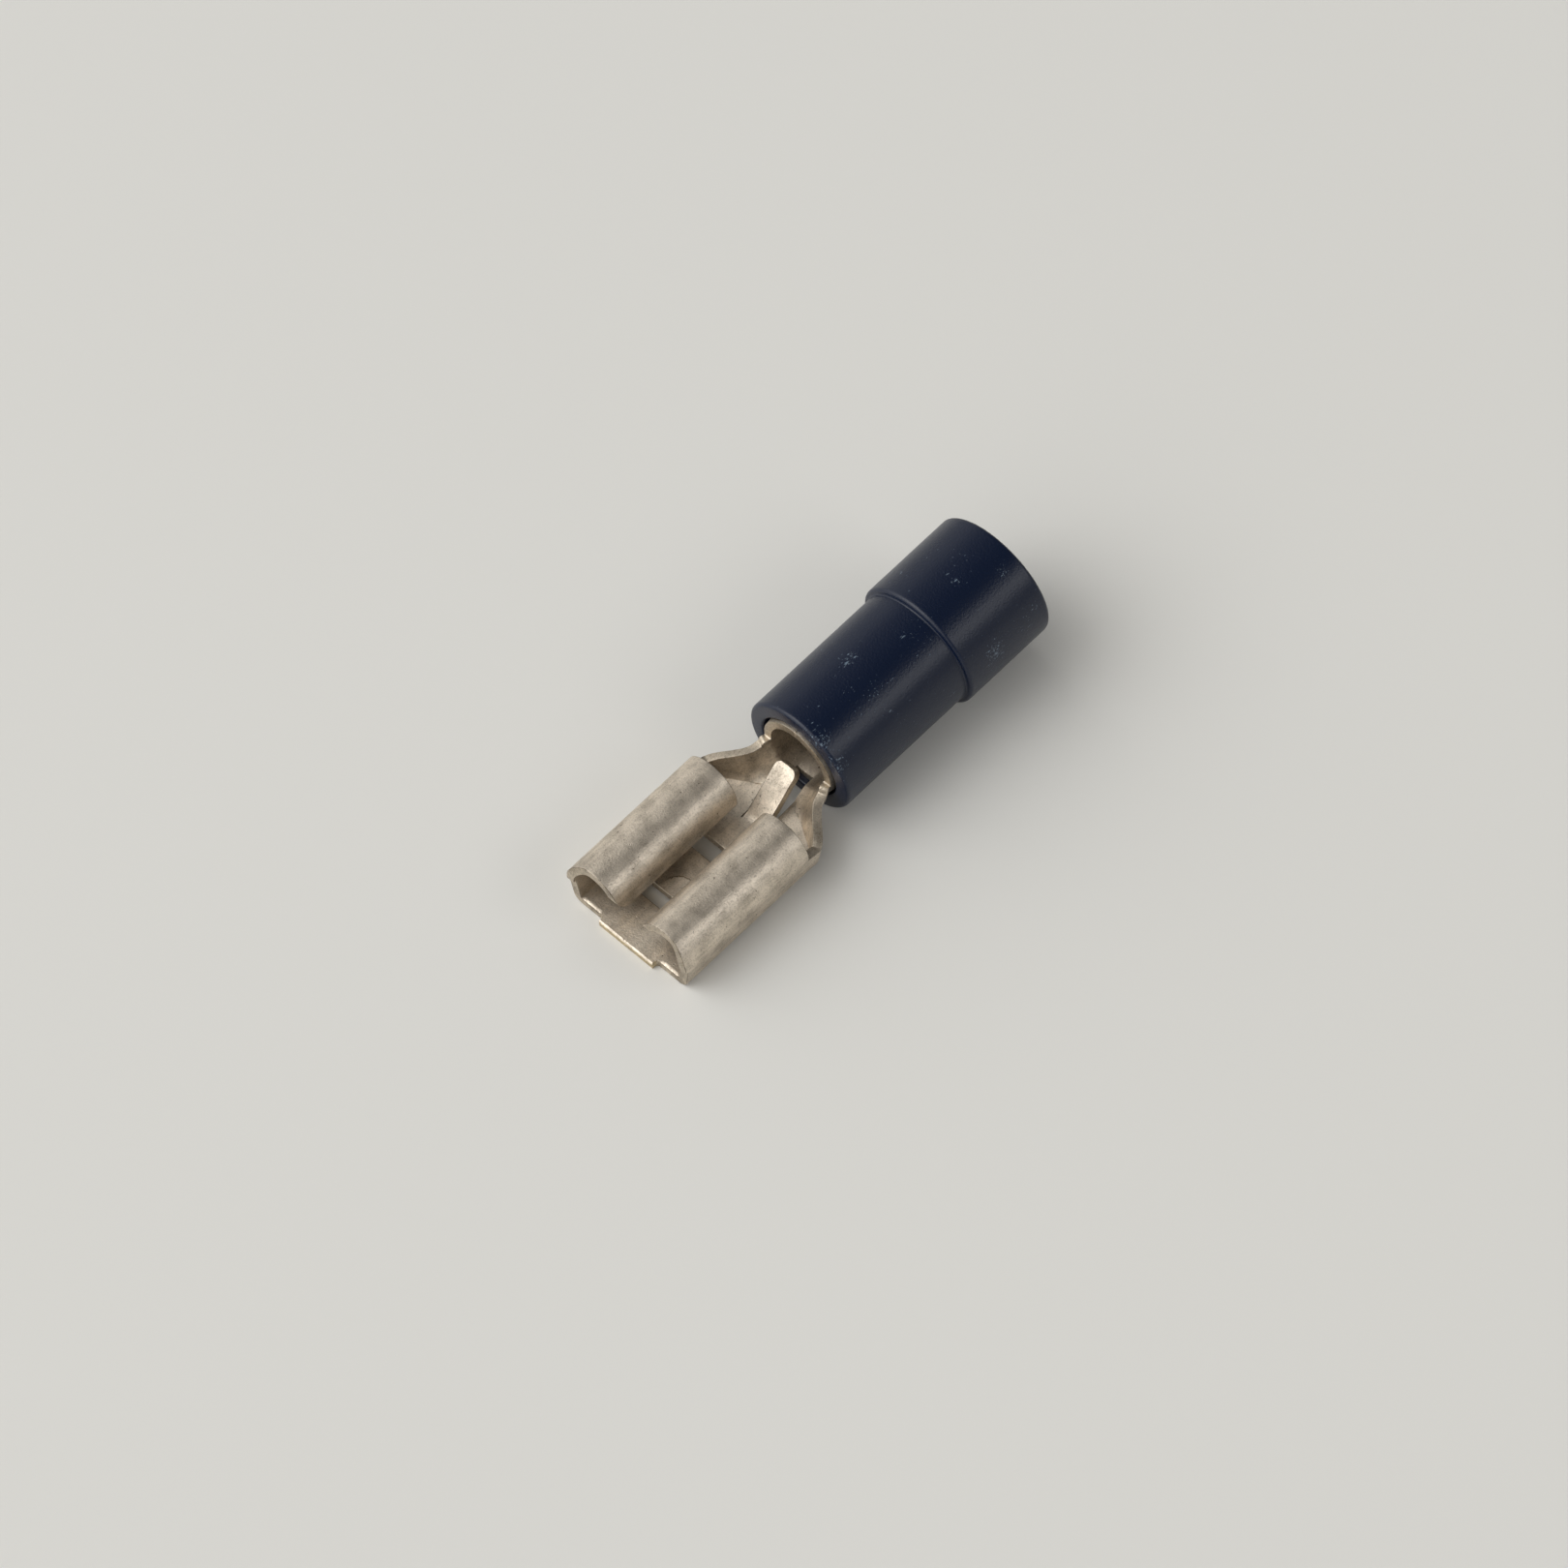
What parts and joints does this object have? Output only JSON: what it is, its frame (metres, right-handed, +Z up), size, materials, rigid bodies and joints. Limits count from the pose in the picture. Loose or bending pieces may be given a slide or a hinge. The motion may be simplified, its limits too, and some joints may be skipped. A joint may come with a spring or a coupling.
{
  "type": "female spade terminal",
  "caption": "Female spade terminal folded from plated brass strip, with a curled receptacle, tab stop, flared neck and crimp barrel held in a stepped dark blue plastic sleeve.",
  "frame": {"origin": "centre of the sleeve's open wire end, on the barrel's axis", "axes": "+X along the terminal, out of the mouth that takes the flat tab; +Z up, from the receptacle's flat floor towards its curls; +Y across"},
  "size_m": [0.0191, 0.0058, 0.0052],
  "materials": {
    "tinned_brass": "satin tin plating over brass strip, bare brass at the sheared edges",
    "blue_nylon": "semi-gloss very dark blue plastic with fine scuffs"
  },
  "bodies": {
    "root": {"terminal": "tinned_brass", "insulating_sleeve": "blue_nylon"}
  },
  "joints": []
}
